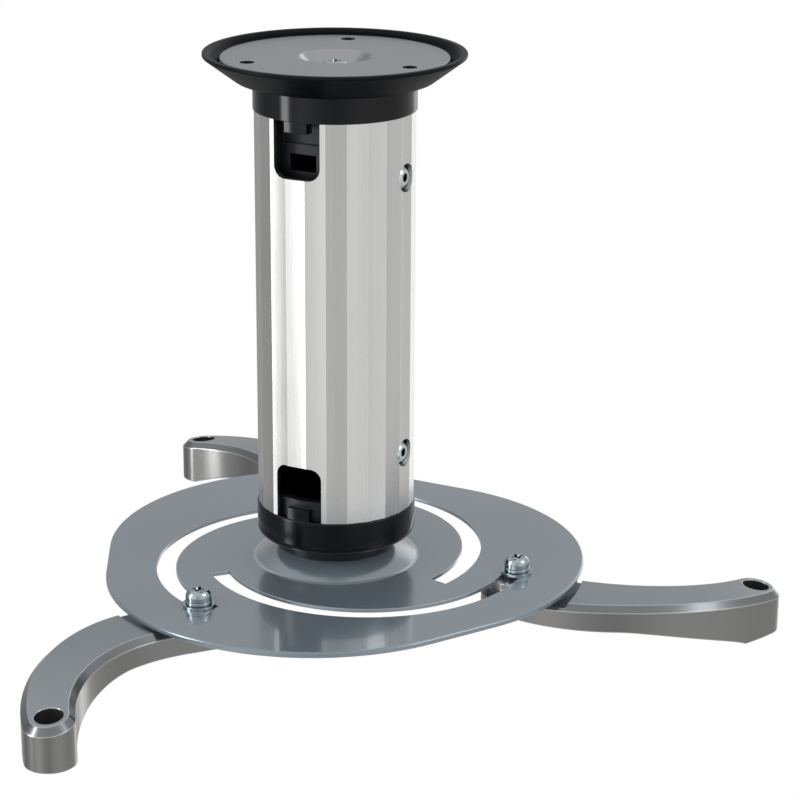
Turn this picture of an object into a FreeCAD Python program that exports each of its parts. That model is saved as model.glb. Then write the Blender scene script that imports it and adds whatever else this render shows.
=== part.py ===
# A ceiling mount for a projector, in millimetres. It hangs from a small round plate on the
# ceiling: a faceted tube turns under that plate, a dished disc tilts under the tube, and three
# curved arms slide and swing on the disc to reach the screw holes of a projector.
# The origin is the centre of the plate's top face, the face that lies against the ceiling.
# +Z is up. One of the plate's screw holes lies on +Y.
import FreeCAD, Part
import math
import os
from FreeCAD import Vector

os.makedirs("parts", exist_ok=True)

# Sizes of the ceiling plate
plate_radius = 42.2
plate_thickness = 2.0
plate_edge_round = 0.7
ceiling_hole_radius = 2.75
ceiling_hole_circle = 34.0
ceiling_hole_count = 3
dimple_top_radius = 13.5
dimple_floor_radius = 8.5
dimple_depth = 5.0
dimple_round = 1.2

# Sizes of the column
tube_radius = 30.0
tube_facets = 24
tube_wall = 2.7
column_top = -19.0
column_length = 152.4
column_turn = -21.0
collar_proud = 0.3
notch_width = 19.0
notch_length = 21.2
notch_corner = 4.5
column_screw_inset = 23.0
column_screw_hole_radius = 5.3

# Sizes of the two end collars and of the plugs that reach from them into the tube
upper_collar_height = 11.0
upper_wall = 5.0
upper_collar_round = 1.2
upper_plug_length = 33.0
plug_clearance = 0.4
plug_wall = 3.4
plug_flat_inset = 4.9
plug_flat_thickness = 3.0
plug_flat_wider = 1.5
plug_step_depth = 0.9
plug_step_level = 9.6
plug_window_width = 11.0
plug_window_height = 6.3
plug_window_level = 13.5
plug_window_shift = -1.0
key_width = 9.4
key_length = 4.2
key_setback = 0.4
lower_collar_height = 13.1
lower_collar_round = 3.0
lower_collar_bevel = 0.5
lower_floor = 6.0
lower_plug_length = 7.0
ear_width = 16.0
ear_length = 33.4
boss_radius = 5.0
boss_depth = 9.5
seat_flat = 0.4

# Sizes of the cover
cover_rim_radius = 48.5
cover_rim_above = 1.7
cover_rim_width = 2.0
cover_lip = 1.2
cover_depth = 11.0
cover_waist_radius = 36.8
cover_waist_above = 1.1
cover_wall = 1.9
cover_clearance = 0.4
cover_neck_width = 2.0
cover_waist_round = 3.0
cover_rim_round = 0.5

# Sizes of the ball joint: one centre for every dished face
ball_radius = 50.0
ball_gap = 0.3
seat_radius = 23.0
seat_height = 5.055
seat_bore_radius = 13.6
dome_hole_radius = 12.4
dome_foot_radius = 31.46
dome_foot_round = 2.0
dome_inside_round = 1.2
liner_thickness = 1.5
liner_radius = 22.6
pressure_thickness = 2.0
pressure_radius = 18.6
pressure_hub_radius = 7.5
pressure_hub_height = 2.6
collar_recess_radius = 14.5
collar_recess_depth = 1.2

# Sizes of the disc
disc_thickness = 1.4
disc_lip_depth = 0.7
disc_lip_width = 1.5
disc_turn = 10.0
lobe_radius = 80.4
lobe_offset = 15.8
disc_edge_round = 0.9
disc_lip_round = 0.3
arm_count = 3
slot_offset = 12.0
slot_radius = 59.45
slot_width = 7.4
slot_start = -162.7
slot_end = -14.0
slot_rest = -20.6
slot_screw_shift = 1.1

# Sizes of the arms, in plan from the arm screw at (0, 0) to the end bore on +X
arm_reach = 92.5
arm_swing = -1.5
arm_inner_radius = 13.6
arm_tip_radius = 9.2
arm_inner_gap = 2.5
arm_crown_gap = 1.15
arm_tip_gap = 5.15
arm_land_drop = 3.1
arm_land_clearance = 0.6
arm_pad_radius = 10.0
arm_pad_round = 0.5
arm_under_thin = 11.1
arm_foot_drop = 22.4
arm_bend_rise = 4.1
arm_chamfer = 2.4
arm_tip_lean = 5.0
end_bore_radius = 5.15
end_web_thickness = 4.0
end_hole_radius = 2.7

# Shares of the arm's reach: the centres of its two long arcs, where the outer one ends, and the
# bend of its underside
outer_arc_place = (0.4367, 0.581)
outer_arc_join = 0.3243
inner_arc_place = (0.5395, 0.546)
arm_bend_places = (0.3804, 0.533, 0.8595, 0.9341)

# Sizes of the fasteners
m6_radius = 3.0
m6_hole_radius = 3.06
m6_nut_flats = 10.0
m6_nut_height = 5.0
m6_head_flats = 10.0
m6_head_height = 4.0
m6_washer_radius = 6.0
m6_washer_thickness = 1.2
m6_end_length = 1.5
pan6_head_radius = 5.25
pan6_head_height = 3.3
m5_radius = 2.5
m5_hole_radius = 2.56
m5_washer_radius = 6.0
m5_washer_thickness = 1.0
m5_spring_radius = 4.9
m5_spring_thickness = 1.6
pan5_head_radius = 4.8
pan5_head_height = 4.0
m5_grip = 9.4
button_head_radius = 4.7
button_head_height = 2.7
button_head_side = 0.95
button_head_round = 1.2
button_socket_flats = 3.0
button_length = 8.5
thread_clearance = 0.05
spring_gap = 0.9
spring_bevel = 0.35
swivel_washer_radius = 9.0
swivel_washer_thickness = 1.0
spring6_radius = 5.9
spring6_thickness = 1.6
recess_width = 1.1
recess_span = 4.6
recess_depth = 1.7

# Heights and widths that follow from the sizes
dimple_floor = -dimple_depth
dimple_underside = -dimple_depth - plate_thickness
upper_collar_top = column_top + upper_collar_height
column_bottom = column_top - column_length
lower_collar_bottom = column_bottom - lower_collar_height
collar_radius = tube_radius + collar_proud
tube_bore_radius = tube_radius - tube_wall
plug_radius = tube_bore_radius - plug_clearance
plug_flat_depth = plug_radius - plug_flat_inset
seat_bottom = lower_collar_bottom - seat_height
ball_centre = seat_bottom - math.sqrt(ball_radius ** 2 - seat_radius ** 2)
disc_top = ball_centre + math.sqrt(ball_radius ** 2 - dome_foot_radius ** 2)
disc_bottom = disc_top - disc_thickness
cover_rim = cover_rim_above
cover_bottom = cover_rim - cover_depth
upper_screw_level = column_top - column_screw_inset
lower_screw_level = column_bottom + column_screw_inset
arm_foot = disc_bottom - arm_foot_drop
arm_outer_centre = (outer_arc_place[0] * arm_reach, outer_arc_place[1] * arm_reach)
arm_inner_centre = (inner_arc_place[0] * arm_reach, inner_arc_place[1] * arm_reach)
arm_outer_arc = math.dist(arm_outer_centre, (arm_reach, 0)) + arm_tip_radius
arm_inner_arc = math.dist(arm_inner_centre, (arm_reach, 0)) - arm_tip_radius

Z = Vector(0, 0, 1)
ORIGIN = Vector(0, 0, 0)


def cylinder(radius, low, high):
    return Part.makeCylinder(radius, high - low, Vector(0, 0, low))


def ring(outer, inner, low, high):
    return cylinder(outer, low, high).cut(cylinder(inner, low - 1, high + 1))


def block(x0, x1, y0, y1, z0, z1):
    return Part.makeBox(x1 - x0, y1 - y0, z1 - z0, Vector(x0, y0, z0))


def revolved(points):
    """A solid of revolution from (radius, height) corners."""
    corners = [Vector(r, 0, z) for r, z in points]
    face = Part.Face(Part.makePolygon(corners + corners[:1]))
    return face.revolve(ORIGIN, Z, 360)


def circles_at(shape, radius, height):
    """The whole round edges of a shape at one radius and height."""
    found = []
    for edge in shape.Edges:
        curve = edge.Curve
        if not isinstance(curve, Part.Circle):
            continue
        near_radius = abs(curve.Radius - radius) < 0.02
        if near_radius and abs(curve.Center.z - height) < 0.02:
            found.append(edge)
    return found


def turned(shape, angle):
    copy = shape.copy()
    copy.rotate(ORIGIN, Z, angle)
    return copy


def hexagon(flats, low, high):
    corner = flats / 2 / math.cos(math.pi / 6)
    points = [Vector(corner * math.cos(math.pi * k / 3), corner * math.sin(math.pi * k / 3), low)
              for k in range(7)]
    return Part.Face(Part.makePolygon(points)).extrude(Vector(0, 0, high - low))


def dished(radius, thickness, outer):
    """A dished ring about the ball centre, seen from above as a disc of one radius."""
    shell = Part.makeSphere(radius, Vector(0, 0, ball_centre))
    shell = shell.cut(Part.makeSphere(radius - thickness, Vector(0, 0, ball_centre)))
    return shell.common(cylinder(outer, ball_centre, ball_centre + radius + 1))


def cross_recess(top):
    """The cross that a screwdriver enters, cut down from the top of a head."""
    half = recess_width / 2
    span = recess_span / 2
    one = block(-span, span, -half, half, top - recess_depth, top + 1)
    other = block(-half, half, -span, span, top - recess_depth, top + 1)
    heart = Part.makeCone(0.4, span * 0.62, recess_depth, Vector(0, 0, top - recess_depth))
    return one.fuse([other, heart])


def pan_head(radius, height, under):
    """A pan head: a short straight side, then a rounded shoulder up to a small flat."""
    top = under + height
    start = Vector(radius, 0, under + height * 0.3)
    middle = Vector(radius * 0.92, 0, under + height * 0.7)
    end = Vector(radius * 0.66, 0, top)
    edges = [Part.LineSegment(Vector(0, 0, under), Vector(radius, 0, under)).toShape(),
             Part.LineSegment(Vector(radius, 0, under), start).toShape(),
             Part.Arc(start, middle, end).toShape(),
             Part.LineSegment(end, Vector(0, 0, top)).toShape(),
             Part.LineSegment(Vector(0, 0, top), Vector(0, 0, under)).toShape()]
    head = Part.Face(Part.Wire(edges)).revolve(ORIGIN, Z, 360)
    return head.cut(cross_recess(top))


def spring_washer(outer, inner, low, thickness):
    """A split ring with its outer edges broken: the slanted gap is what makes it spring."""
    high = low + thickness
    body = revolved([(inner, low), (outer - spring_bevel, low), (outer, low + spring_bevel),
                     (outer, high - spring_bevel), (outer - spring_bevel, high), (inner, high)])
    gap = block(0, outer + 1, -spring_gap / 2, spring_gap / 2, low - 2, low + thickness + 2)
    gap.rotate(Vector(outer, 0, low + thickness / 2), Vector(1, 0, 0), 25)
    return body.cut(gap)


def hex_nut(flats, bore, low, height):
    """A nut with both faces turned off at 30 degrees."""
    corner = flats / 2 / math.cos(math.pi / 6)
    slope = (corner - flats / 2) * math.tan(math.pi / 6)
    turned_off = revolved([(0, low), (flats / 2, low), (corner, low + slope),
                           (corner, low + height - slope), (flats / 2, low + height),
                           (0, low + height)])
    body = hexagon(flats, low, low + height).common(turned_off)
    return body.cut(cylinder(bore, low - 1, low + height + 1))


# Ceiling plate: a pressed steel disc with a dimple that hides the head of the swivel screw

def ceiling_plate():
    outward = plate_thickness * 0.7
    body = revolved([(m6_hole_radius, dimple_floor), (dimple_floor_radius, dimple_floor),
                     (dimple_top_radius, 0), (plate_radius, 0), (plate_radius, -plate_thickness),
                     (dimple_top_radius + outward, -plate_thickness),
                     (dimple_floor_radius + outward, dimple_underside), (m6_hole_radius, dimple_underside)])
    body = body.makeFillet(dimple_round, circles_at(body, dimple_top_radius, 0)
                           + circles_at(body, dimple_floor_radius, dimple_floor))
    body = body.makeFillet(plate_edge_round, circles_at(body, plate_radius, 0)
                           + circles_at(body, plate_radius, -plate_thickness))
    for k in range(ceiling_hole_count):
        hole = cylinder(ceiling_hole_radius, -plate_thickness - 1, 1)
        hole.translate(Vector(0, ceiling_hole_circle, 0))
        body = body.cut(turned(hole, 360 / ceiling_hole_count * k))
    return body


# Cover: a thin moulded cup that slides up the column and hides the plate

def ceiling_cover():
    waist = cover_bottom + cover_waist_above
    lip = cover_rim - cover_lip
    slope = (cover_rim_radius - cover_waist_radius) / (lip - waist)
    neck = collar_radius + cover_clearance
    inner_rim = cover_rim_radius - cover_rim_width
    inner_floor = cover_bottom + cover_wall
    inner_waist = cover_waist_radius - cover_rim_width + (inner_floor - waist) * slope
    body = revolved([(neck, cover_bottom), (neck + cover_neck_width, cover_bottom),
                     (cover_waist_radius, waist), (cover_rim_radius, lip), (cover_rim_radius, cover_rim),
                     (inner_rim, cover_rim), (inner_waist, inner_floor), (neck, inner_floor)])
    body = body.makeFillet(cover_waist_round, circles_at(body, cover_waist_radius, waist))
    rims = circles_at(body, cover_rim_radius, cover_rim) + circles_at(body, cover_rim_radius, lip)
    return body.makeFillet(cover_rim_round, rims + circles_at(body, inner_rim, cover_rim))


# Swivel: a screw through the plate's dimple, with a slip washer above the collar

def swivel_screw():
    tip = upper_collar_top - upper_wall - m6_washer_thickness - m6_nut_height - m6_end_length
    head = pan_head(pan6_head_radius, pan6_head_height, dimple_floor)
    return head.fuse(cylinder(m6_radius, tip, dimple_floor))


def swivel_slip_washer():
    return ring(swivel_washer_radius, m6_radius + thread_clearance, upper_collar_top,
                upper_collar_top + swivel_washer_thickness)


def swivel_flat_washer():
    high = upper_collar_top - upper_wall
    return ring(m6_washer_radius, m6_radius + thread_clearance, high - m6_washer_thickness, high)


def swivel_nut():
    low = upper_collar_top - upper_wall - m6_washer_thickness - m6_nut_height
    return hex_nut(m6_nut_flats, m6_radius + thread_clearance, low, m6_nut_height)


# Column: an extruded tube with flat facets and a rounded notch at each end for the cable

def notch(end, inward):
    """The cutter of one notch, open at the tube's end."""
    far = end + inward * notch_length
    low = min(far, end - inward * 5)
    high = max(far, end - inward * 5)
    cutter = block(-notch_width / 2, notch_width / 2, -tube_radius - 2, -tube_bore_radius + 6, low, high)
    corners = [edge for edge in cutter.Edges
               if abs(edge.Vertexes[0].Z - far) < 0.01 and abs(edge.Vertexes[1].Z - far) < 0.01
               and abs(edge.Vertexes[0].X - edge.Vertexes[1].X) < 0.01]
    return cutter.makeFillet(notch_corner, corners)


def column_tube():
    step = 2 * math.pi / tube_facets
    points = [Vector(tube_radius * math.cos(step * (k + 0.5)), tube_radius * math.sin(step * (k + 0.5)),
                     column_bottom) for k in range(tube_facets + 1)]
    body = Part.Face(Part.makePolygon(points)).extrude(Vector(0, 0, column_length))
    body = body.cut(cylinder(tube_bore_radius, column_bottom - 1, column_top + 1))
    body = body.cut([notch(column_top, -1), notch(column_bottom, 1)])
    for level in (upper_screw_level, lower_screw_level):
        hole = Part.makeCylinder(column_screw_hole_radius, 80, Vector(-40, 0, level), Vector(1, 0, 0))
        body = body.cut(hole)
    return turned(body, column_turn)


def screw_bosses(level):
    """Solid posts behind the plug wall, for the two screws of one end."""
    shapes = []
    for side in (-1, 1):
        start = Vector(side * (plug_radius - boss_depth), 0, level)
        shapes.append(Part.makeCylinder(boss_radius, boss_depth, start, Vector(side, 0, 0)))
    return shapes


def screw_bores(level):
    """The tapped bores, with a small flat for each head to seat on."""
    shapes = [Part.makeCylinder(m5_radius + thread_clearance, 80, Vector(-40, 0, level), Vector(1, 0, 0))]
    for side in (-1, 1):
        start = Vector(side * (plug_radius - seat_flat), 0, level)
        shapes.append(Part.makeCylinder(boss_radius, 5, start, Vector(side, 0, 0)))
    return shapes


def key(end, reach):
    """The lug beside the plug that stands in the tube's notch."""
    outer = tube_radius - key_setback
    lug = ring(outer, plug_radius - 1, min(end, end + reach), max(end, end + reach))
    side = key_width / 2
    return lug.common(block(-side, side, -outer - 1, -plug_radius / 2, column_bottom - 50, 0))


def upper_collar():
    plug_end = column_top - upper_plug_length
    cavity_top = upper_collar_top - upper_wall
    cap = cylinder(collar_radius, column_top, upper_collar_top)
    cap = cap.makeFillet(upper_collar_round, circles_at(cap, collar_radius, upper_collar_top))
    body = cap.fuse(cylinder(plug_radius, plug_end, column_top))
    body = body.cut(cylinder(plug_radius - plug_wall, plug_end - 1, cavity_top))
    half = notch_width / 2 + plug_flat_wider
    back = -plug_flat_depth + plug_flat_thickness
    flat = block(-half, half, -tube_radius, back, plug_end, cavity_top + 0.5)
    flat = flat.common(cylinder(plug_radius - 1, plug_end, cavity_top + 0.5))
    body = body.fuse([flat] + screw_bosses(upper_screw_level))
    step = column_top - plug_step_level
    body = body.cut(block(-half, half, -tube_radius, -plug_flat_depth, plug_end - 1, column_top))
    body = body.cut(block(-half + 2, half - 2, -tube_radius, -plug_flat_depth + plug_step_depth,
                          step, column_top))
    window_top = column_top - plug_window_level
    window_left = plug_window_shift - plug_window_width / 2
    body = body.cut(block(window_left, window_left + plug_window_width, -tube_radius, back + 1,
                          window_top - plug_window_height, window_top))
    body = body.fuse(key(column_top, -key_length))
    body = body.cut(screw_bores(upper_screw_level))
    return turned(body.cut(cylinder(m6_hole_radius, cavity_top - 1, upper_collar_top + 1)), column_turn)


def lower_collar():
    plug_end = column_bottom + lower_plug_length
    floor = lower_collar_bottom + lower_floor
    cup = cylinder(collar_radius, lower_collar_bottom, column_bottom)
    cup = cup.makeFillet(lower_collar_round, circles_at(cup, collar_radius, lower_collar_bottom))
    cup = cup.makeChamfer(lower_collar_bevel, circles_at(cup, collar_radius, column_bottom))
    body = cup.fuse(cylinder(plug_radius, column_bottom, plug_end))
    ears = cylinder(plug_radius, plug_end, column_bottom + ear_length)
    ears = ears.common(block(-tube_radius, tube_radius, -ear_width / 2, ear_width / 2, column_bottom, 0))
    body = body.fuse(ears)
    body = body.cut(cylinder(plug_radius - plug_wall, floor, 0))
    body = body.fuse(screw_bosses(lower_screw_level) + [key(column_bottom, key_length)])
    body = body.cut(screw_bores(lower_screw_level))
    below = lower_collar_bottom - 1
    recess = cylinder(collar_recess_radius, below, lower_collar_bottom + collar_recess_depth)
    body = body.cut([recess, cylinder(m6_hole_radius, below, floor + 1)])
    return turned(body, column_turn)


def column_screws(level):
    """Two button heads that sit in the tube's holes like pegs and hold it on the plug."""
    seat = plug_radius - seat_flat
    head = revolved([(0, 0), (button_head_radius, 0), (button_head_radius, button_head_side),
                     (button_head_radius * 0.62, button_head_height), (0, button_head_height)])
    head = head.makeFillet(button_head_round, circles_at(head, button_head_radius, button_head_side))
    head = head.cut(hexagon(button_socket_flats, button_head_side, button_head_height + 1))
    screw = head.fuse(cylinder(m5_radius, -button_length, 0))
    screw.rotate(ORIGIN, Vector(0, 1, 0), 90)
    screw.translate(Vector(seat, 0, level))
    return Part.makeCompound([turned(screw, column_turn), turned(screw, column_turn + 180)])


# Ball joint: the disc's dome is held between a seat ring above and a dished washer below

def seat_ring():
    body = ring(seat_radius, seat_bore_radius, seat_bottom - 1, lower_collar_bottom)
    body = body.cut(Part.makeSphere(ball_radius + ball_gap, Vector(0, 0, ball_centre)))
    return body


def disc_face(inset, level):
    """The disc in plan, smaller by the inset: three round lobes and the lines that touch them."""
    radius = lobe_radius - inset
    corners = []
    edges = []
    for k in range(arm_count):
        lobe = math.radians(120 * k)
        centre = Vector(lobe_offset * math.cos(lobe), lobe_offset * math.sin(lobe), level)
        around = [centre + Vector(radius * math.cos(lobe + a), radius * math.sin(lobe + a), 0)
                  for a in (-math.pi / 3, 0, math.pi / 3)]
        edges.append(Part.Arc(*around).toShape())
        corners.append(around)
    for k in range(arm_count):
        follow = corners[(k + 1) % arm_count]
        edges.append(Part.LineSegment(corners[k][2], follow[0]).toShape())
    return Part.Face(Part.Wire(Part.__sortEdges__(edges)))


def mounting_disc():
    """A pressed sheet: a dome in the middle, and its rim turned down into a short lip."""
    rim = disc_bottom - disc_lip_depth
    plate = disc_face(0, rim).extrude(Vector(0, 0, disc_top - rim))
    plate = plate.makeFillet(disc_edge_round, level_edges(plate, disc_top))
    plate = plate.makeFillet(disc_lip_round, level_edges(plate, rim))
    plate = plate.cut(disc_face(disc_lip_width, rim - 1).extrude(Vector(0, 0, disc_lip_depth + 1)))
    dome = Part.makeSphere(ball_radius, Vector(0, 0, ball_centre))
    dome = dome.common(cylinder(dome_foot_radius + 1, disc_top - 1, ball_centre + ball_radius + 1))
    body = plate.fuse(dome)
    body = body.cut([Part.makeSphere(ball_radius - disc_thickness, Vector(0, 0, ball_centre)),
                     cylinder(dome_hole_radius, disc_bottom, ball_centre + ball_radius + 1)])
    body = body.makeFillet(dome_foot_round, circles_at(body, dome_foot_radius, disc_top))
    inside = math.sqrt((ball_radius - disc_thickness) ** 2 - (disc_bottom - ball_centre) ** 2)
    body = body.makeFillet(dome_inside_round, circles_at(body, inside, disc_bottom))
    for k in range(arm_count):
        body = body.cut(turned(slot_cutter(), 120 * k))
    return turned(body, disc_turn)


def level_edges(shape, level):
    """The edges that lie flat at one height."""
    return [edge for edge in shape.Edges
            if abs(edge.BoundBox.ZMin - level) < 0.01 and abs(edge.BoundBox.ZMax - level) < 0.01]


def slot_cutter():
    """One curved slot: part of a circle whose centre is off the disc's own centre."""
    start = math.radians(slot_start)
    sweep = slot_end - slot_start
    low = slot_radius - slot_width / 2
    high = slot_radius + slot_width / 2
    section = Part.Face(Part.makePolygon([Vector(low, 0, disc_bottom - 1), Vector(high, 0, disc_bottom - 1),
                                          Vector(high, 0, disc_top + 1), Vector(low, 0, disc_top + 1),
                                          Vector(low, 0, disc_bottom - 1)]))
    cutter = section.revolve(ORIGIN, Z, sweep)
    cutter.rotate(ORIGIN, Z, math.degrees(start))
    cutter.translate(Vector(slot_offset, 0, 0))
    return cutter


def friction_liner():
    outside = ball_radius - disc_thickness - ball_gap
    body = dished(outside, liner_thickness, liner_radius)
    return turned(body.cut(cylinder(dome_hole_radius, ball_centre, ball_centre + ball_radius)), disc_turn)


def pressure_washer():
    outside = ball_radius - disc_thickness - ball_gap * 2 - liner_thickness
    body = dished(outside, pressure_thickness, pressure_radius)
    crown = ball_centre + outside
    hub = cylinder(pressure_hub_radius, crown - pressure_hub_height, crown - pressure_thickness / 2)
    return body.fuse(hub).cut(cylinder(m6_hole_radius, ball_centre, crown + 1))


def pressure_hub_face():
    """Height of the flat under the dished washer, where the spring washer bears."""
    outside = ball_radius - disc_thickness - ball_gap * 2 - liner_thickness
    return ball_centre + outside - pressure_hub_height


def clamp_spring_washer():
    low = pressure_hub_face() - spring6_thickness
    return spring_washer(spring6_radius, m6_radius + thread_clearance, low, spring6_thickness)


def clamp_nut():
    low = pressure_hub_face() - spring6_thickness - m6_nut_height
    return hex_nut(m6_nut_flats, m6_radius + thread_clearance, low, m6_nut_height)


def clamp_bolt():
    seat = lower_collar_bottom + lower_floor
    tip = pressure_hub_face() - spring6_thickness - m6_nut_height - m6_end_length
    corner = m6_head_flats / 2 / math.cos(math.pi / 6)
    crown = revolved([(0, seat), (corner, seat), (corner, seat + m6_head_height - 0.5),
                      (m6_head_flats / 2, seat + m6_head_height), (0, seat + m6_head_height)])
    head = hexagon(m6_head_flats, seat, seat + m6_head_height).common(crown)
    return head.fuse(cylinder(m6_radius, tip, seat))


# Arms: castings that slide in the slots and swing about their screws

def run_in(join, centre):
    """The arc that carries an arm's outer side on round its inner end without a corner."""
    gap = math.dist(join, centre)
    normal = ((join[0] - centre[0]) / gap, (join[1] - centre[1]) / gap)
    across = join[0] * normal[0] + join[1] * normal[1]
    radius = (math.hypot(*join) ** 2 - arm_inner_radius ** 2) / 2 / (across - arm_inner_radius)
    middle = (join[0] - radius * normal[0], join[1] - radius * normal[1])
    start = toward(middle, radius, (0, 0))
    return start, toward(middle, radius, ((start[0] + join[0]) / 2, (start[1] + join[1]) / 2))


def toward(centre, radius, point):
    """The point of a circle that lies toward another point."""
    dx = point[0] - centre[0]
    dy = point[1] - centre[1]
    gap = math.hypot(dx, dy)
    return (centre[0] + radius * dx / gap, centre[1] + radius * dy / gap)


def arm_outline():
    """The arm in plan: a round inner end, a long outer side, a round tip, a hollow inner side."""
    tip = (arm_reach, 0)
    join_x = outer_arc_join * arm_reach
    join_y = arm_outer_centre[1] - math.sqrt(arm_outer_arc ** 2 - (join_x - arm_outer_centre[0]) ** 2)
    join = (join_x, join_y)
    start, first_mid = run_in(join, arm_outer_centre)
    outer_end = toward(arm_outer_centre, arm_outer_arc, tip)
    inner_end = toward(arm_inner_centre, arm_inner_arc, tip)
    gap = math.hypot(*arm_inner_centre)
    angle = math.atan2(arm_inner_centre[1], arm_inner_centre[0])
    angle += math.acos((arm_inner_radius + arm_inner_arc) / gap)
    neck = (arm_inner_radius * math.cos(angle), arm_inner_radius * math.sin(angle))
    inner_start = (arm_inner_centre[0] - arm_inner_arc * math.cos(angle),
                   arm_inner_centre[1] - arm_inner_arc * math.sin(angle))
    outer_mid = (arm_outer_centre[0], arm_outer_centre[1] - arm_outer_arc)
    inner_mid = (arm_inner_centre[0], arm_inner_centre[1] - arm_inner_arc)
    lean = math.radians(arm_tip_lean)
    far = (tip[0] + arm_tip_radius * math.cos(lean), arm_tip_radius * math.sin(lean))
    return start, first_mid, join, outer_mid, outer_end, far, inner_end, inner_mid, inner_start, neck


def arm_blank():
    low = arm_foot - 5
    flat = [Vector(x, y, low) for x, y in arm_outline()]
    start, first_mid, join, outer_mid, outer_end, far, inner_end, inner_mid, inner_start, neck = flat
    back = Vector(-arm_inner_radius, 0, low)
    edges = [Part.Arc(start, first_mid, join).toShape(),
             Part.Arc(join, outer_mid, outer_end).toShape(),
             Part.Arc(outer_end, far, inner_end).toShape(),
             Part.Arc(inner_end, inner_mid, inner_start).toShape(),
             Part.LineSegment(inner_start, neck).toShape(),
             Part.Arc(neck, back, start).toShape()]
    return Part.Face(Part.Wire(edges)).extrude(Vector(0, 0, disc_bottom + 10 - low))


def arm_side():
    """The arm from the side: a crowned top that falls to the tip, and an underside that deepens."""
    thin = disc_bottom - arm_under_thin
    left = -arm_inner_radius - 5
    right = arm_reach + arm_tip_radius + 5
    start, first, last, end = [place * arm_reach for place in arm_bend_places]
    bend = Part.BezierCurve()
    bend.setPoles([Vector(start, 0, thin), Vector(first, 0, thin),
                   Vector(last, 0, arm_foot + arm_bend_rise), Vector(end, 0, arm_foot)])
    crown = Part.Arc(Vector(left, 0, top_level(left)), Vector(arm_reach / 2, 0, top_level(arm_reach / 2)),
                     Vector(right, 0, top_level(right)))
    edges = [bend.toShape(),
             Part.LineSegment(Vector(end, 0, arm_foot), Vector(right, 0, arm_foot)).toShape(),
             Part.LineSegment(Vector(right, 0, arm_foot), Vector(right, 0, top_level(right))).toShape(),
             crown.toShape(),
             Part.LineSegment(Vector(left, 0, top_level(left)), Vector(left, 0, thin)).toShape(),
             Part.LineSegment(Vector(left, 0, thin), Vector(start, 0, thin)).toShape()]
    face = Part.Face(Part.Wire(Part.__sortEdges__(edges)))
    face.translate(Vector(0, -arm_reach, 0))
    return face.extrude(Vector(0, 2 * arm_reach, 0))


def top_level(along):
    """Height of the arm's crowned top at a distance from the screw."""
    share = along / arm_reach
    chord = arm_inner_gap + (arm_tip_gap - arm_inner_gap) * share
    rise = (arm_inner_gap + arm_tip_gap) / 2 - arm_crown_gap
    return disc_bottom - chord + 4 * rise * share * (1 - share)


def arm():
    """One arm on the spot, its screw at (0, 0) and its end bore on +X."""
    body = arm_blank().common(arm_side())
    top = [face for face in body.Faces if face.normalAt(0, 0).z > 0.9][0]
    body = body.makeChamfer(arm_chamfer, top.Edges)
    land = disc_bottom - arm_land_drop
    centre = disc_centre_from_arm()
    reach = lobe_offset + lobe_radius + arm_land_clearance
    cutter = Part.makeCylinder(reach, 20, Vector(centre[0], centre[1], land))
    body = body.cut(cutter)
    pad = cylinder(arm_pad_radius, land - 1, disc_bottom)
    body = body.fuse(pad.makeFillet(arm_pad_round, circles_at(pad, arm_pad_radius, disc_bottom)))
    body = body.cut(cylinder(m5_hole_radius, arm_foot, disc_bottom + 1))
    bore = Part.makeCylinder(end_bore_radius, 40, Vector(arm_reach, 0, arm_foot + end_web_thickness))
    hole = Part.makeCylinder(end_hole_radius, 40, Vector(arm_reach, 0, arm_foot - 1))
    return body.cut([bore, hole])


def screw_spot(slide):
    """Where an arm screw stands in its slot, against the outer wall, for the lobe on +X."""
    rest = math.radians(slot_rest + slide)
    radius = slot_radius + slot_screw_shift
    return (slot_offset + radius * math.cos(rest), radius * math.sin(rest))


def disc_centre_from_arm():
    spot = screw_spot(0)
    swing = math.radians(-arm_swing)
    return (-spot[0] * math.cos(swing) + spot[1] * math.sin(swing),
            -spot[0] * math.sin(swing) - spot[1] * math.cos(swing))


def placed(shape, index, slide, turn):
    """Bring a shape from its own screw axis to the screw of one slot."""
    copy = turned(shape, turn)
    spot = screw_spot(slide)
    copy.translate(Vector(spot[0], spot[1], 0))
    return turned(copy, disc_turn + 120 * index)


def arm_screw():
    under = disc_top + m5_washer_thickness + m5_spring_thickness
    tip = disc_bottom - m5_grip
    return pan_head(pan5_head_radius, pan5_head_height, under).fuse(cylinder(m5_radius, tip, under))


def arm_spring_washer():
    return spring_washer(m5_spring_radius, m5_radius + thread_clearance, disc_top + m5_washer_thickness,
                         m5_spring_thickness)


def arm_flat_washer():
    return ring(m5_washer_radius, m5_radius + thread_clearance, disc_top, disc_top + m5_washer_thickness)


pieces = {
    "ceiling_plate": ceiling_plate(),
    "ceiling_cover": ceiling_cover(),
    "swivel_screw": swivel_screw(),
    "swivel_slip_washer": swivel_slip_washer(),
    "swivel_flat_washer": swivel_flat_washer(),
    "swivel_nut": swivel_nut(),
    "upper_collar": upper_collar(),
    "column_tube": column_tube(),
    "upper_column_screws": column_screws(upper_screw_level),
    "lower_column_screws": column_screws(lower_screw_level),
    "lower_collar": lower_collar(),
    "seat_ring": seat_ring(),
    "clamp_bolt": clamp_bolt(),
    "mounting_disc": mounting_disc(),
    "friction_liner": friction_liner(),
    "pressure_washer": pressure_washer(),
    "clamp_spring_washer": clamp_spring_washer(),
    "clamp_nut": clamp_nut(),
}

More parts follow.
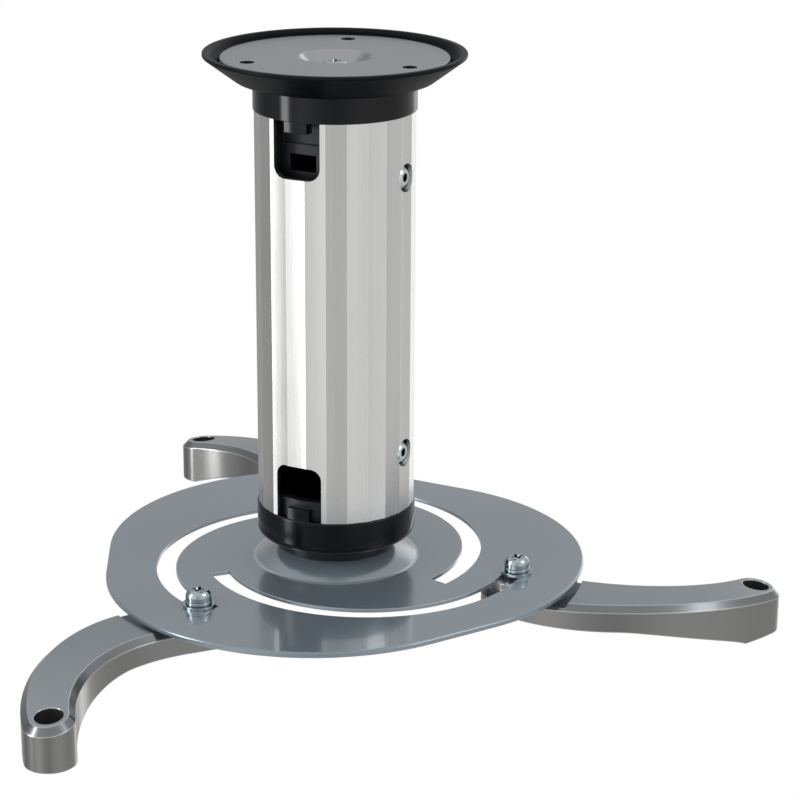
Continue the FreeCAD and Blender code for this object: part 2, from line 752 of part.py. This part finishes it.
# The three arms, numbered round the disc: how far each stands along its slot from the usual place,
# how far it is swung, and how far its screw was turned home
sides = {"right": (0, -0.8, -0.5, 20), "back": (1, 0, -5.2, 60), "left": (2, 0.8, -2.2, 100)}
spring_washer_turn = 200
for side, (index, slide, swing, turn) in sides.items():
    pieces["arm_" + side] = placed(arm(), index, slide, swing)
    pieces["arm_screw_" + side] = placed(arm_screw(), index, slide, turn)
    pieces["spring_washer_" + side] = placed(arm_spring_washer(), index, slide, spring_washer_turn)
    pieces["flat_washer_" + side] = placed(arm_flat_washer(), index, slide, 0)

for name, shape in pieces.items():
    shape.exportStep("parts/" + name + ".step")
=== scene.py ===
import math

import bmesh
import bpy
from mathutils import Matrix, Vector


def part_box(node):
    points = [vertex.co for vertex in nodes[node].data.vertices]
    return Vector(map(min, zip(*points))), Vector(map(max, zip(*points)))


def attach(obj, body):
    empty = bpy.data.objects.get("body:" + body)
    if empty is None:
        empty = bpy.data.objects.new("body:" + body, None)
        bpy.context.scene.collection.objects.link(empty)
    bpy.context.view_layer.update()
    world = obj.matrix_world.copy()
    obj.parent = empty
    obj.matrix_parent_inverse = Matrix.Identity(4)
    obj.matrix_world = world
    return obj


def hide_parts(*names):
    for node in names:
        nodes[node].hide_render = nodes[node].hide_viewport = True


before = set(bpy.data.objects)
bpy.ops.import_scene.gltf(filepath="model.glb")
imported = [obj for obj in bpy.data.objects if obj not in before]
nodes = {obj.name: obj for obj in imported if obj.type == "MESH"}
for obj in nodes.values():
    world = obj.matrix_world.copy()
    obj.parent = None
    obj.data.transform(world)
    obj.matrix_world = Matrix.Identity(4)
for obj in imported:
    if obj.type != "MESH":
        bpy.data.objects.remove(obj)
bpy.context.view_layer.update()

mm = 0.001


# The studio
# The mount hangs in front of white surroundings, with a pale floor a room's height below it. Metal
# mirrors grey walls instead, which are brighter in front at the left and behind at the right, so
# that the facets of the tube differ.

class Wire:
    """A shader socket that can be reckoned with: each expression adds the nodes it needs."""

    def __init__(self, tree, socket=None):
        self.tree = tree
        self.socket = socket

    def node(self, kind, settings=None, inputs=None, output=0):
        """Any node of this tree, with its settings made first and its sockets filled after."""
        made = self.tree.nodes.new("ShaderNode" + kind)
        for name, value in (settings or {}).items():
            setattr(made, name, value)
        for name, value in (inputs or {}).items():
            if isinstance(value, Wire):
                self.tree.links.new(value.socket, made.inputs[name])
            else:
                made.inputs[name].default_value = value
        return Wire(self.tree, made.outputs[output] if made.outputs else None)

    def math(self, operation, *terms):
        return self.node("Math", {"operation": operation}, dict(enumerate(terms)))

    def __add__(self, other):
        return self.math("ADD", self, other)

    def __sub__(self, other):
        return self.math("SUBTRACT", self, other)

    def __rsub__(self, other):
        return self.math("SUBTRACT", other, self)

    def __mul__(self, other):
        return self.math("MULTIPLY", self, other)

    def __truediv__(self, other):
        return self.math("DIVIDE", self, other)

    def rise(self, low, high):
        """0 below the low value and 1 above the high one, or the other way round."""
        return self.node("MapRange", {"interpolation_type": "SMOOTHSTEP"}, {0: self, 1: low, 2: high})

    def mixed(self, factor, first, second, way="MIX"):
        """Two colours mixed by a factor."""
        first, second = [(*c, 1) if isinstance(c, tuple) else c for c in (first, second)]
        settings = {"data_type": "RGBA", "blend_type": way}
        return self.node("Mix", settings, {0: factor, 6: first, 7: second}, 2)

    def apart(self):
        """The three parts of a vector."""
        made = self.node("SeparateXYZ", inputs={0: self})
        return [Wire(self.tree, socket) for socket in made.socket.node.outputs]

    def from_axis(self):
        """How far a place lies from the Z axis."""
        beside, before, _ = self.apart()
        return self.math("SQRT", beside * beside + before * before)


def shader_nodes(owner):
    owner.use_nodes = True
    owner.node_tree.nodes.clear()
    return Wire(owner.node_tree)


def grey(level):
    return (level, level, level)


white = (1, 1, 1, 1)
wall_strength = 1.6
wall_levels = {-180: 0.33, -150: 0.26, -118: 0.20, -102: 0.20, -90: 0.32, -80: 0.36, -65: 0.30, -50: 0.58,
               -38: 0.74, -22: 0.58, -8: 0.42, 10: 0.34, 28: 0.48, 42: 0.57, 70: 0.52, 100: 0.40, 132: 0.42,
               146: 0.46, 153: 0.88, 163: 0.88, 173: 0.33, 180: 0.33}
ceiling_level = 0.52
ceiling_from, ceiling_full = 0.35, 0.8

room = bpy.data.worlds.new("studio_walls")
bpy.context.scene.world = room
air = shader_nodes(room)
across, along, upward = air.node("TexCoord").apart()
azimuth = air.math("ARCTAN2", across, along * -1.0) / (2 * math.pi) + 0.5
walls = air.node("ValToRGB", inputs={0: azimuth})
ramp = walls.socket.node.color_ramp
while len(ramp.elements) < len(wall_levels):
    ramp.elements.new(0.5)
for stop, (degrees, level) in zip(ramp.elements, wall_levels.items()):
    stop.position = 0.5 + degrees / 360
    stop.color = (*grey(level), 1)
around = air.mixed(upward.rise(ceiling_from, ceiling_full), walls, grey(ceiling_level))
mirrored = air.node("Background", inputs={"Color": around, "Strength": wall_strength})
plain = air.node("Background", inputs={"Color": white, "Strength": 1.0})
seen = air.node("LightPath")
shown = air.node("MixShader", inputs={0: seen, 1: mirrored, 2: plain})
air.node("OutputWorld", inputs={"Surface": shown})

floor_level = -2.4
floor_half = 3.0
floor_lift = 0.35
floor_greys = grey(0.80), grey(0.84)

ground = bmesh.new()
bmesh.ops.create_grid(ground, x_segments=1, y_segments=1, size=floor_half)
bmesh.ops.translate(ground, verts=ground.verts, vec=(0, 0, floor_level))
floor_mesh = bpy.data.meshes.new("floor")
ground.to_mesh(floor_mesh)
floor = bpy.data.objects.new("floor", floor_mesh)
bpy.context.scene.collection.objects.link(floor)

pale = bpy.data.materials.new("pale_floor")
paint = shader_nodes(pale)
scuffs = paint.node("TexNoise", inputs={"Vector": paint.node("TexCoord", output=3), "Scale": 1.5})
scuffed = paint.mixed(scuffs, *floor_greys)
matt = paint.node("BsdfPrincipled", inputs={"Base Color": scuffed, "Roughness": 0.6})
lift = paint.node("Emission", inputs={"Color": white, "Strength": floor_lift})
whiter = paint.node("AddShader", inputs={0: matt, 1: lift})
seen = paint.node("LightPath")
shown = paint.node("MixShader", inputs={0: seen, 1: matt, 2: whiter})
paint.node("OutputMaterial", inputs={"Surface": shown})
floor_mesh.materials.append(pale)

mount_middle = Vector((0, 0, -0.11))


def softbox(name, azimuth, height, distance, size, watts):
    """A rectangle of light that faces the middle of the mount. Azimuth runs from -Y toward +X."""
    lamp = bpy.data.lights.new(name, "AREA")
    lamp.shape = "RECTANGLE"
    lamp.size, lamp.size_y = size
    lamp.energy = watts
    angle = math.radians(azimuth)
    place = Vector((distance * math.sin(angle), -distance * math.cos(angle), height))
    aim = (mount_middle - place).to_track_quat("-Z", "Y").to_matrix().to_4x4()
    holder = bpy.data.objects.new(name, lamp)
    holder.matrix_world = Matrix.Translation(place) @ aim
    bpy.context.scene.collection.objects.link(holder)


softbox("left_strip", -65, 0.1, 1.7, (0.36, 1.9), 18)
softbox("right_softbox", 75, 1.1, 1.7, (0.9, 0.9), 8)

eye_place = (0.13432, -0.91017, 0.17691)
eye_heading, eye_pitch, eye_roll = 6.5, 71.078, 0.472

eye = bpy.data.cameras.new("eye")
eye.lens = 114.548
eye.sensor_width = 36
eye.shift_x = -0.01947
eye.shift_y = 0.01953
eye.clip_end = 200
viewer = bpy.data.objects.new("eye", eye)
viewer.matrix_world = (Matrix.Translation(eye_place)
                       @ Matrix.Rotation(math.radians(eye_heading), 4, "Z")
                       @ Matrix.Rotation(math.radians(eye_pitch), 4, "X")
                       @ Matrix.Rotation(math.radians(eye_roll), 4, "Z"))
bpy.context.scene.collection.objects.link(viewer)
bpy.context.scene.camera = viewer
bpy.context.scene.view_settings.view_transform = "Standard"


# Ceiling plate
# A pressed steel disc with three screw holes, under a grey satin powder coat. The press leaves its
# dimple smooth, and the dimple is painted lighter as a painted highlight. The coat is lighter round
# each hole, and the wall of each hole is painted dark as painted shade.

def coat(name, layout):
    """A material whose nodes are laid out by the function passed in, which returns its sockets."""
    made = bpy.data.materials.new(name)
    sheet = shader_nodes(made)
    surface = sheet.node("BsdfPrincipled", inputs=layout(sheet))
    sheet.node("OutputMaterial", inputs={"Surface": surface})
    return made


def dress(node, material):
    """Gives a CAD node its finish."""
    piece = nodes[node]
    piece.data.materials.clear()
    piece.data.materials.append(material)


def noise(sheet, place, scale, detail):
    return sheet.node("TexNoise", inputs={"Vector": place, "Scale": scale, "Detail": detail})


def soft_edge(sheet, width):
    """A normal that rounds the sharp edges of the metal or moulding a little."""
    return sheet.node("Bevel", {"samples": 6}, {"Radius": width})


def bumpy(sheet, height, depth, normal):
    return sheet.node("Bump", inputs={"Height": height, "Distance": depth, "Normal": normal})


def times(sheet, colour, amount):
    """A colour made lighter or darker by a varying amount."""
    return sheet.mixed(1.0, colour, amount, "MULTIPLY")


plate_hole_circle = 34 * mm
plate_hole_radius = 2.75 * mm
plate_hole_count = 3
plate_hole_bearing = 90
plate_dimple_radius = 13.5 * mm
plate_grey = (0.272, 0.280, 0.302)
plate_rim_grey = (0.44, 0.45, 0.46)
plate_hole_shade_grey = (0.035, 0.036, 0.040)
plate_dimple_highlight_grey = (0.43, 0.44, 0.45)
plate_edge_round = 0.3 * mm


def plate_layout(sheet):
    spot = sheet.node("TexCoord", output=3)
    grain = noise(sheet, spot, 1400.0, 3.0)
    cloud = noise(sheet, spot, 45.0, 2.0)
    flat = sheet.node("VectorMath", {"operation": "MULTIPLY"}, {0: spot, 1: (1, 1, 0)})
    near = 1.0
    for k in range(plate_hole_count):
        angle = math.radians(plate_hole_bearing + 360 / plate_hole_count * k)
        hole = (plate_hole_circle * math.cos(angle), plate_hole_circle * math.sin(angle), 0)
        gap = sheet.node("VectorMath", {"operation": "DISTANCE"}, {0: flat, 1: hole}, "Value")
        near = gap.math("MINIMUM", gap, near)
    rim = near.rise(plate_hole_radius + 0.9 * mm, plate_hole_radius + 0.3 * mm)
    # The wall of each hole is painted dark: painted shade.
    hole_shade = near.rise(plate_hole_radius + 0.25 * mm, plate_hole_radius)
    pressed = spot.from_axis().rise(plate_dimple_radius + 1.0 * mm, plate_dimple_radius - 0.5 * mm)
    colour = sheet.mixed(rim * 0.7, plate_grey, plate_rim_grey)
    colour = sheet.mixed(hole_shade, colour, plate_hole_shade_grey)
    colour = times(sheet, colour, cloud * 0.08 + grain * 0.10 + 0.91)
    # The dimple is painted lighter: a painted highlight.
    colour = sheet.mixed(pressed * 0.6, colour, plate_dimple_highlight_grey)
    normal = bumpy(sheet, grain * (1 - pressed * 0.8), 0.006 * mm, soft_edge(sheet, plate_edge_round))
    return {"Base Color": colour, "Metallic": pressed * 0.35 + 0.55, "Normal": normal,
            "Roughness": cloud * 0.06 + 0.25 - pressed * 0.13}


dress("ceiling_plate", coat("plate_powder_coat", plate_layout))


# Cover
# A thin black moulded cup that slides up the column and hides the plate. Its outside has the fine
# spark grain of the mould, and its rim, worn by handling, is smoother. The rim is also painted a
# little lighter, as a painted highlight along it.

cover_black = (0.0024, 0.0028, 0.0038)
cover_rim_highlight_black = (0.010, 0.0108, 0.013)
cover_rim_from, cover_rim_full = 0.2 * mm, 1.2 * mm
cover_edge_round = 0.3 * mm


def cover_layout(sheet):
    spot = sheet.node("TexCoord", output=3)
    grain = sheet.node("TexVoronoi", {"feature": "SMOOTH_F1"}, {"Vector": spot, "Scale": 2400.0})
    flow = noise(sheet, spot, 60.0, 2.0)
    rim = spot.apart()[2].rise(cover_rim_from, cover_rim_full)
    # The rim is painted a little lighter: a painted highlight.
    colour = times(sheet, sheet.mixed(rim, cover_black, cover_rim_highlight_black), flow * 0.3 + 0.85)
    rough = flow * 0.06 + (0.36 - rim * 0.1)
    normal = bumpy(sheet, grain, 0.008 * mm, soft_edge(sheet, cover_edge_round))
    return {"Base Color": colour, "Roughness": rough, "Normal": normal, "Specular IOR Level": 0.035}


dress("ceiling_cover", coat("cover_moulding", cover_layout))


# Screws, nuts and washers of the swivel and of the clamp
# Standard M6 parts in bright zinc plate. The swivel screw holds the column to the plate, and the
# clamp bolt pulls the dished washer up against the dome. Their threads are cut into the shanks.

zinc_white = (0.50, 0.565, 0.59)
zinc_blue = (0.34, 0.41, 0.44)
zinc_shade_dark = (0.07, 0.08, 0.095)
zinc_edge_round = 0.15 * mm
seam_half = 0.16 * mm


def zinc_layout(centre=(0, 0), top=0, recess=0, seams=()):
    """Zinc plate, with painted shade in the recess of a head whose centre and top are given, and
    painted shade with dark oil along the seams, the heights at which two pieces meet."""
    def layout(sheet):
        spot = sheet.node("TexCoord", output=3)
        cloud = noise(sheet, spot, 650.0, 3.0)
        pores = noise(sheet, spot, 4200.0, 2.0)
        normal = bumpy(sheet, pores, 0.004 * mm, soft_edge(sheet, zinc_edge_round))
        colour = sheet.mixed(cloud, zinc_white, zinc_blue)
        if recess:
            head = sheet.node("Mapping", inputs={0: spot, 1: (-centre[0], -centre[1], 0)})
            sunk = spot.apart()[2].rise(top - 0.25 * mm, top - 0.9 * mm)
            deep = sunk * head.from_axis().rise(recess, recess * 0.85)
            # The recess is painted dark: painted shade.
            colour = sheet.mixed(deep * 0.75, colour, zinc_shade_dark)
        for seam in seams:
            gap = sheet.math("ABSOLUTE", spot.apart()[2] - seam)
            # Each seam is painted dark: painted shade, with some dark oil.
            colour = sheet.mixed(gap.rise(seam_half, seam_half * 0.4) * 0.9, colour, zinc_shade_dark)
        return {"Base Color": colour, "Metallic": 1.0, "Roughness": cloud * 0.14 + 0.09, "Normal": normal}
    return layout


thread_depth = 0.61
thread_crest = 0.44, 0.56
thread_lead_in = 0.7
thread_steps = 28
joining_gap = 0.002 * mm
cut_reach = 1e-7


def thread_rod(radius, pitch, low, high):
    """A cut thread about the Z axis: the profile of one turn, spun into a helix and cut to length."""
    rod = bmesh.new()
    root = radius - pitch * thread_depth
    rising, falling = [share * pitch for share in thread_crest]
    start = low - pitch * 1.5
    profile = [(root, 0), (radius, rising), (radius, falling), (root, pitch)]
    points = [rod.verts.new((r, 0, start + z)) for r, z in profile]
    lines = [rod.edges.new(pair) for pair in zip(points, points[1:])]
    turns = math.ceil((high - low) / pitch) + 3
    bmesh.ops.spin(rod, geom=points + lines, cent=(0, 0, 0), axis=(0, 0, 1),
                   dvec=(0, 0, pitch / thread_steps), angle=math.tau * turns, steps=thread_steps * turns)
    bmesh.ops.remove_doubles(rod, verts=rod.verts, dist=joining_gap)
    for level, facing in ((low, -1), (high, 1)):
        cut = bmesh.ops.bisect_plane(rod, geom=rod.verts[:] + rod.edges[:] + rod.faces[:], dist=cut_reach,
                                     plane_co=(0, 0, level), plane_no=(0, 0, facing), clear_outer=True)
        rim = [e for e in cut["geom_cut"] if isinstance(e, bmesh.types.BMEdge)]
        bmesh.ops.triangle_fill(rod, edges=rim, use_beauty=True, normal=(0, 0, facing))
    for corner in rod.verts:
        allowed = radius - max(0.0, low + pitch * thread_lead_in - corner.co.z)
        out = math.hypot(corner.co.x, corner.co.y)
        if out > allowed:
            corner.co.x *= allowed / out
            corner.co.y *= allowed / out
    bmesh.ops.recalc_face_normals(rod, faces=rod.faces)
    return rod


def cut_thread(node, body, radius, pitch, seat, material):
    """The screw of a node with a cut thread below its seat, in place of the plain shank."""
    low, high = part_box(node)
    centre = (low + high) / 2
    screw = bmesh.new()
    screw.from_mesh(nodes[node].data)
    bmesh.ops.remove_doubles(screw, verts=screw.verts, dist=0.001 * mm)
    bmesh.ops.bisect_plane(screw, geom=screw.verts[:] + screw.edges[:] + screw.faces[:], dist=cut_reach,
                           plane_co=(0, 0, seat), plane_no=(0, 0, 1), clear_inner=True)
    bmesh.ops.holes_fill(screw, edges=[e for e in screw.edges if e.is_boundary], sides=0)
    rod = thread_rod(radius, pitch, low.z, seat)
    bmesh.ops.translate(rod, verts=rod.verts, vec=(centre.x, centre.y, 0))
    spare = bpy.data.meshes.new("thread")
    rod.to_mesh(spare)
    screw.from_mesh(spare)
    bpy.data.meshes.remove(spare)
    made = bpy.data.meshes.new(node + "_threaded")
    screw.to_mesh(made)
    piece = bpy.data.objects.new(node + "_threaded", made)
    bpy.context.scene.collection.objects.link(piece)
    made.materials.append(material)
    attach(piece, body)
    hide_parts(node)


m6_radius, m6_pitch = 3.0 * mm, 1.0 * mm
recess_reach = 2.5 * mm

swivel_head = 3.3 * mm
swivel_plain_shank = 4 * mm
swivel_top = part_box("swivel_screw")[1].z
swivel_seat = swivel_top - swivel_head - swivel_plain_shank
swivel_zinc = coat("swivel_screw_zinc", zinc_layout(top=swivel_top, recess=recess_reach))
cut_thread("swivel_screw", "column", m6_radius, m6_pitch, swivel_seat, swivel_zinc)

bolt_head = 4.0 * mm
bolt_plain_shank = 3 * mm
bolt_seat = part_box("clamp_bolt")[1].z - bolt_head - bolt_plain_shank
plain_zinc = coat("clamp_zinc", zinc_layout())
cut_thread("clamp_bolt", "column", m6_radius, m6_pitch, bolt_seat, plain_zinc)
for node in ("swivel_flat_washer", "swivel_nut", "clamp_spring_washer", "clamp_nut"):
    dress(node, plain_zinc)

pressed_dull = (0.5, 0.52, 0.54)
pressed_bright = (0.6, 0.62, 0.63)


def pressed_layout(sheet):
    """Pressed steel with a dull zinc finish and the faint rings that the press tool leaves."""
    spot = sheet.node("TexCoord", output=3)
    cloud = noise(sheet, spot, 300.0, 3.0)
    rings = sheet.node("TexWave", {"wave_type": "RINGS", "rings_direction": "Z"},
                       {"Vector": spot, "Scale": 260.0, "Distortion": 1.0})
    normal = bumpy(sheet, rings, 0.004 * mm, soft_edge(sheet, 0.3 * mm))
    return {"Base Color": sheet.mixed(cloud, pressed_dull, pressed_bright), "Metallic": 1.0,
            "Roughness": cloud * 0.12 + 0.3, "Normal": normal}


dress("pressure_washer", coat("pressed_zinc", pressed_layout))


# Slip washer and friction liner
# Natural nylon, moulded, a little cloudy. They let the column turn under the plate and the dome
# turn under its clamp.

nylon_warm = (0.58, 0.57, 0.52)
nylon_pale = (0.68, 0.67, 0.62)


def nylon_layout(sheet):
    spot = sheet.node("TexCoord", output=3)
    cloud = noise(sheet, spot, 220.0, 3.0)
    normal = bumpy(sheet, cloud, 0.01 * mm, soft_edge(sheet, 0.2 * mm))
    return {"Base Color": sheet.mixed(cloud, nylon_warm, nylon_pale), "Normal": normal,
            "Roughness": cloud * 0.1 + 0.42, "Subsurface Weight": 0.1,
            "Subsurface Radius": (2.0 * mm, 2.0 * mm, 1.5 * mm)}


nylon = coat("natural_nylon", nylon_layout)
dress("swivel_slip_washer", nylon)
dress("friction_liner", nylon)


# End collars and seat ring
# Glossy black plastic, moulded in one piece each with the plug that reaches into the tube. The
# outside is polished with a slight ripple, and the plug inside the tube is duller and dustier.

collar_black = (0.0020, 0.0026, 0.0040)
plug_black = (0.010, 0.011, 0.014)
plug_edge = 27.5 * mm
collar_edge_round = 0.45 * mm


def collar_layout(sheet):
    spot = sheet.node("TexCoord", output=3)
    ripple = noise(sheet, spot, 70.0, 1.0)
    dust = noise(sheet, spot, 1900.0, 2.0)
    inside = spot.from_axis().rise(plug_edge + 0.6 * mm, plug_edge)
    colour = times(sheet, sheet.mixed(inside, collar_black, plug_black), dust * 0.5 + 0.75)
    rough = inside * 0.20 + ripple * 0.05 + 0.12
    normal = bumpy(sheet, ripple, 0.02 * mm, soft_edge(sheet, collar_edge_round))
    return {"Base Color": colour, "Roughness": rough, "Normal": normal, "Specular IOR Level": 0.26}


collar_plastic = coat("collar_gloss_black", collar_layout)
for node in ("upper_collar", "lower_collar", "seat_ring"):
    dress(node, collar_plastic)


# Column tube
# Extruded aluminium with 24 slightly hollow facets, brushed along its length and clear anodised.
# The die leaves fine lines, the saw leaves its cut ends bright, and the bore is plain. The edges
# between facets are painted lighter as a painted highlight, and the bore is painted darker as
# painted shade inside the tube.

facet_angle = math.radians(15)
column_turn = math.radians(-21)
bore_edge = 28.0 * mm
facet_hollow = 0.085 * mm
facets_back_to_front = 40.5
tube_silver = (0.66, 0.66, 0.65)
tube_edge_highlight_grey = grey(0.80)
bore_shade_grey = (0.30, 0.31, 0.32)
sawn_silver = (0.86, 0.87, 0.88)


def tube_layout(sheet):
    spot = sheet.node("TexCoord", output=3)
    beside, before, _ = spot.apart()
    facets = (sheet.math("ARCTAN2", before, beside) - column_turn) / facet_angle + facets_back_to_front
    over = sheet.math("FRACT", facets) - 0.5
    lengthwise = sheet.node("Mapping", inputs={"Vector": spot, "Scale": (1, 1, 0.006)})
    hair = noise(sheet, lengthwise, 3000.0, 3.0)
    band = noise(sheet, lengthwise, 380.0, 2.0)
    bloom = noise(sheet, spot, 30.0, 2.0)
    skin = spot.from_axis().rise(bore_edge, bore_edge + 0.4 * mm)
    upright = sheet.node("NewGeometry", output="True Normal").apart()[2]
    sawn = sheet.math("ABSOLUTE", upright).rise(0.6, 0.8)
    edge = sheet.math("ABSOLUTE", over).rise(0.455, 0.49) * skin
    # The bore is painted darker: painted shade inside the tube.
    colour = sheet.mixed(skin, bore_shade_grey, tube_silver)
    colour = times(sheet, colour, hair * 0.10 + band * 0.10 + bloom * 0.05 + 0.875)
    # The edges between facets are painted lighter: a painted highlight.
    colour = sheet.mixed(edge * 0.35, colour, tube_edge_highlight_grey)
    colour = sheet.mixed(sawn, colour, sawn_silver)
    hollow = sheet.node("Bump", inputs={"Height": over * over * 4.0 * skin, "Distance": facet_hollow})
    return {"Base Color": colour, "Roughness": hair * 0.10 + bloom * 0.05 + 0.20, "Metallic": 1.0,
            "Normal": bumpy(sheet, hair, 0.004 * mm, hollow)}


dress("column_tube", coat("brushed_aluminium", tube_layout))


# Column screws
# Zinc-plated button heads with a hexagon socket. Each sits in a hole of the tube like a peg, and
# its socket is in shadow.

button_pale = (0.66, 0.70, 0.73)
button_dull = (0.54, 0.58, 0.61)
socket_dark = (0.05, 0.055, 0.06)
socket_half = 1.65 * mm
socket_mouth = 29.5 * mm
socket_shade = 29.2 * mm


def button_layout(level):
    """The finish of the two heads at one level, of which one looks forward and one back."""
    def layout(sheet):
        spot = sheet.node("TexCoord", output=3)
        turned = sheet.node("Mapping", inputs={0: spot, 1: (0, 0, -level), 2: (0, 0, -column_turn)})
        outward, sideways, height = turned.apart()
        off = sheet.math("SQRT", sideways * sideways + height * height)
        cloud = noise(sheet, spot, 800.0, 3.0)
        socket = off.rise(socket_half * 1.06, socket_half * 0.98)
        sunk = sheet.math("ABSOLUTE", outward).rise(socket_mouth, socket_shade)
        colour = sheet.mixed(cloud, button_pale, button_dull)
        colour = sheet.mixed(socket * sunk * 0.85, colour, socket_dark)
        normal = bumpy(sheet, cloud, 0.006 * mm, soft_edge(sheet, zinc_edge_round))
        return {"Base Color": colour, "Metallic": 1.0, "Roughness": cloud * 0.12 + 0.14, "Normal": normal}
    return layout


for node in ("upper_column_screws", "lower_column_screws"):
    low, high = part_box(node)
    dress(node, coat(node + "_zinc", button_layout((low.z + high.z) / 2)))


# Mounting disc
# Pressed sheet steel under blue-grey metallic lacquer: a dome in the middle, three curved slots and
# a rolled rim. The lacquer is painted lighter along the punched edges and round the dome's foot, as
# painted highlights.

disc_colour = (0.198, 0.248, 0.286)
disc_deep_colour = (0.182, 0.229, 0.266)
disc_highlight_colour = (0.58, 0.60, 0.61)
disc_edge_round = 0.45 * mm
dome_foot_radius = 31.6 * mm


def edge_share(sheet, rounded, low, high):
    """Where the rounded normal bends away from the flat face: 0 on a face and 1 on a sharp edge."""
    level = sheet.node("NewGeometry", output="True Normal")
    bend = sheet.node("VectorMath", {"operation": "DOT_PRODUCT"}, {0: rounded, 1: level}, "Value")
    return bend.rise(low, high)


def disc_layout(sheet):
    spot = sheet.node("TexCoord", output=3)
    flake = sheet.node("TexVoronoi", {"feature": "F1"}, {"Vector": spot, "Scale": 5200.0}, "Color")
    glint = flake.apart()[0]
    cloud = noise(sheet, spot, 26.0, 2.0)
    peel = noise(sheet, spot, 420.0, 2.0)
    rounded = soft_edge(sheet, disc_edge_round)
    foot_highlight = sheet.math("ABSOLUTE", spot.from_axis() - dome_foot_radius).rise(0.9 * mm, 0.1 * mm)
    colour = sheet.mixed(cloud, disc_colour, disc_deep_colour)
    colour = times(sheet, colour, glint * 0.07 + 0.965)
    # Painted highlights: the edges and the dome's foot are painted lighter.
    colour = sheet.mixed(edge_share(sheet, rounded, 0.995, 0.90) * 0.8, colour, disc_highlight_colour)
    colour = sheet.mixed(foot_highlight * 0.4, colour, disc_highlight_colour)
    return {"Base Color": colour, "Metallic": 0.42, "Roughness": cloud * 0.04 + 0.22, "Coat Weight": 1.0,
            "Coat Roughness": 0.09, "Coat IOR": 1.65,
            "Normal": bumpy(sheet, peel, 0.0006 * mm, rounded)}


dress("mounting_disc", coat("disc_lacquer", disc_layout))


# Arms
# Zinc castings, one for each slot, under a satin silver lacquer with a faint sand in it. Their sides
# and chamfers are painted darker as painted shade, and their edges are painted lighter as a painted
# highlight.

sides = ("right", "back", "left")
arm_silver = (0.330, 0.368, 0.398)
arm_shadow = (0.292, 0.328, 0.357)
arm_side_shade_grey = (0.210, 0.210, 0.206)
arm_chamfer_shade_grey = (0.170, 0.179, 0.187)
arm_edge_highlight_silver = (0.66, 0.68, 0.69)
arm_edge_round = 0.6 * mm


def arm_layout(sheet):
    spot = sheet.node("TexCoord", output=3)
    sand = noise(sheet, spot, 2600.0, 3.0)
    wave = noise(sheet, spot, 120.0, 3.0)
    cloud = noise(sheet, spot, 32.0, 2.0)
    upright = sheet.node("NewGeometry", output="True Normal").apart()[2]
    flank = upright.rise(0.35, 0.1)
    chamfer = upright.rise(0.35, 0.55) * upright.rise(0.95, 0.85)
    rounded = soft_edge(sheet, arm_edge_round)
    colour = sheet.mixed(cloud, arm_silver, arm_shadow)
    # The sides and chamfers are painted darker: painted shade.
    colour = sheet.mixed(flank, colour, arm_side_shade_grey)
    colour = sheet.mixed(chamfer * 0.9, colour, arm_chamfer_shade_grey)
    # The edges are painted lighter: a painted highlight.
    colour = sheet.mixed(edge_share(sheet, rounded, 0.997, 0.96) * 0.85, colour, arm_edge_highlight_silver)
    colour = times(sheet, colour, sand * 0.05 + wave * 0.03 + 0.96)
    relief = bumpy(sheet, wave, 0.005 * mm, rounded)
    return {"Base Color": colour, "Metallic": 0.9, "Roughness": wave * 0.05 + sand * 0.04 + 0.19,
            "Coat Weight": 0.4, "Coat Roughness": 0.12,
            "Normal": bumpy(sheet, sand, 0.0012 * mm, relief)}


arm_lacquer = coat("arm_satin_lacquer", arm_layout)
for side in sides:
    dress("arm_" + side, arm_lacquer)


# Arm screws and their washers
# An M5 pan head with a cross recess, over a spring washer and a flat washer, in bluish zinc plate.
# Each screw clamps one arm to the disc, and its threaded tip shows under the arm.

m5_radius, m5_pitch = 2.5 * mm, 0.8 * mm
m5_head = 4.0 * mm
m5_plain_shank = 0.5 * mm
washer_tops = [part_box(washer + "_right")[1].z for washer in ("spring_washer", "flat_washer")]
spring_zinc = coat("spring_washer_zinc", zinc_layout(seams=washer_tops))
for side in sides:
    node = "arm_screw_" + side
    low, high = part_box(node)
    centre = (low + high) / 2
    seat = high.z - m5_head - m5_plain_shank
    finish = coat(node + "_zinc", zinc_layout((centre.x, centre.y), high.z, recess_reach, washer_tops))
    cut_thread(node, "slider_" + side, m5_radius, m5_pitch, seat, finish)
    dress("spring_washer_" + side, spring_zinc)
    dress("flat_washer_" + side, plain_zinc)
